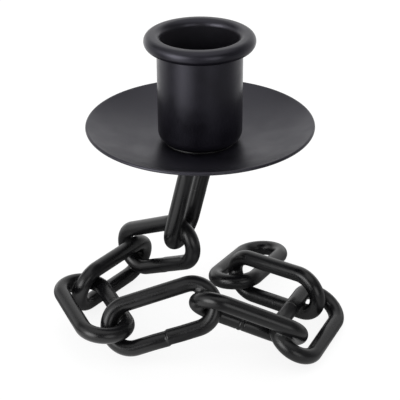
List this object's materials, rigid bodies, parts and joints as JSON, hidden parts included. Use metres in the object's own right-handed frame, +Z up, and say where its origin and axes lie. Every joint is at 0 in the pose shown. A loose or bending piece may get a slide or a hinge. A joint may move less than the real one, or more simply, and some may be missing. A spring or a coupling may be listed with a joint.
{
  "type": "candlestick",
  "caption": "Black candlestick: a rolled-rim taper cup on a dished drip pan, held up by a heap of steel chain links welded into one rigid foot.",
  "frame": {"origin": "on the surface that the candlestick stands on, under the middle of its overall box", "axes": "+Z up along the candle's axis; the picture looks along +Y, with +X to its right"},
  "size_m": [0.0898, 0.073, 0.0922],
  "materials": {
    "cup_coat": "satin black powder coat, fine grain",
    "pan_coat": "satin black powder coat, smooth",
    "chain_coat": "satin black powder coat over drawn wire",
    "weld_coat": "satin black powder coat over weld bead"
  },
  "bodies": {
    "root": {"candle_cup": "cup_coat", "drip_pan": "pan_coat", "cup_braze": "weld_coat", "stem_weld": "weld_coat", "chain_link_1": "chain_coat", "chain_link_2": "chain_coat", "chain_link_3": "chain_coat", "chain_link_4": "chain_coat", "chain_link_5": "chain_coat", "chain_link_6": "chain_coat", "chain_link_7": "chain_coat", "chain_link_8": "chain_coat", "chain_link_9": "chain_coat", "link_weld_1": "weld_coat", "link_weld_2": "weld_coat", "link_weld_3": "weld_coat", "link_weld_4": "weld_coat", "link_weld_5": "weld_coat", "link_weld_6": "weld_coat", "link_weld_7": "weld_coat", "link_weld_8": "weld_coat"}
  },
  "joints": []
}
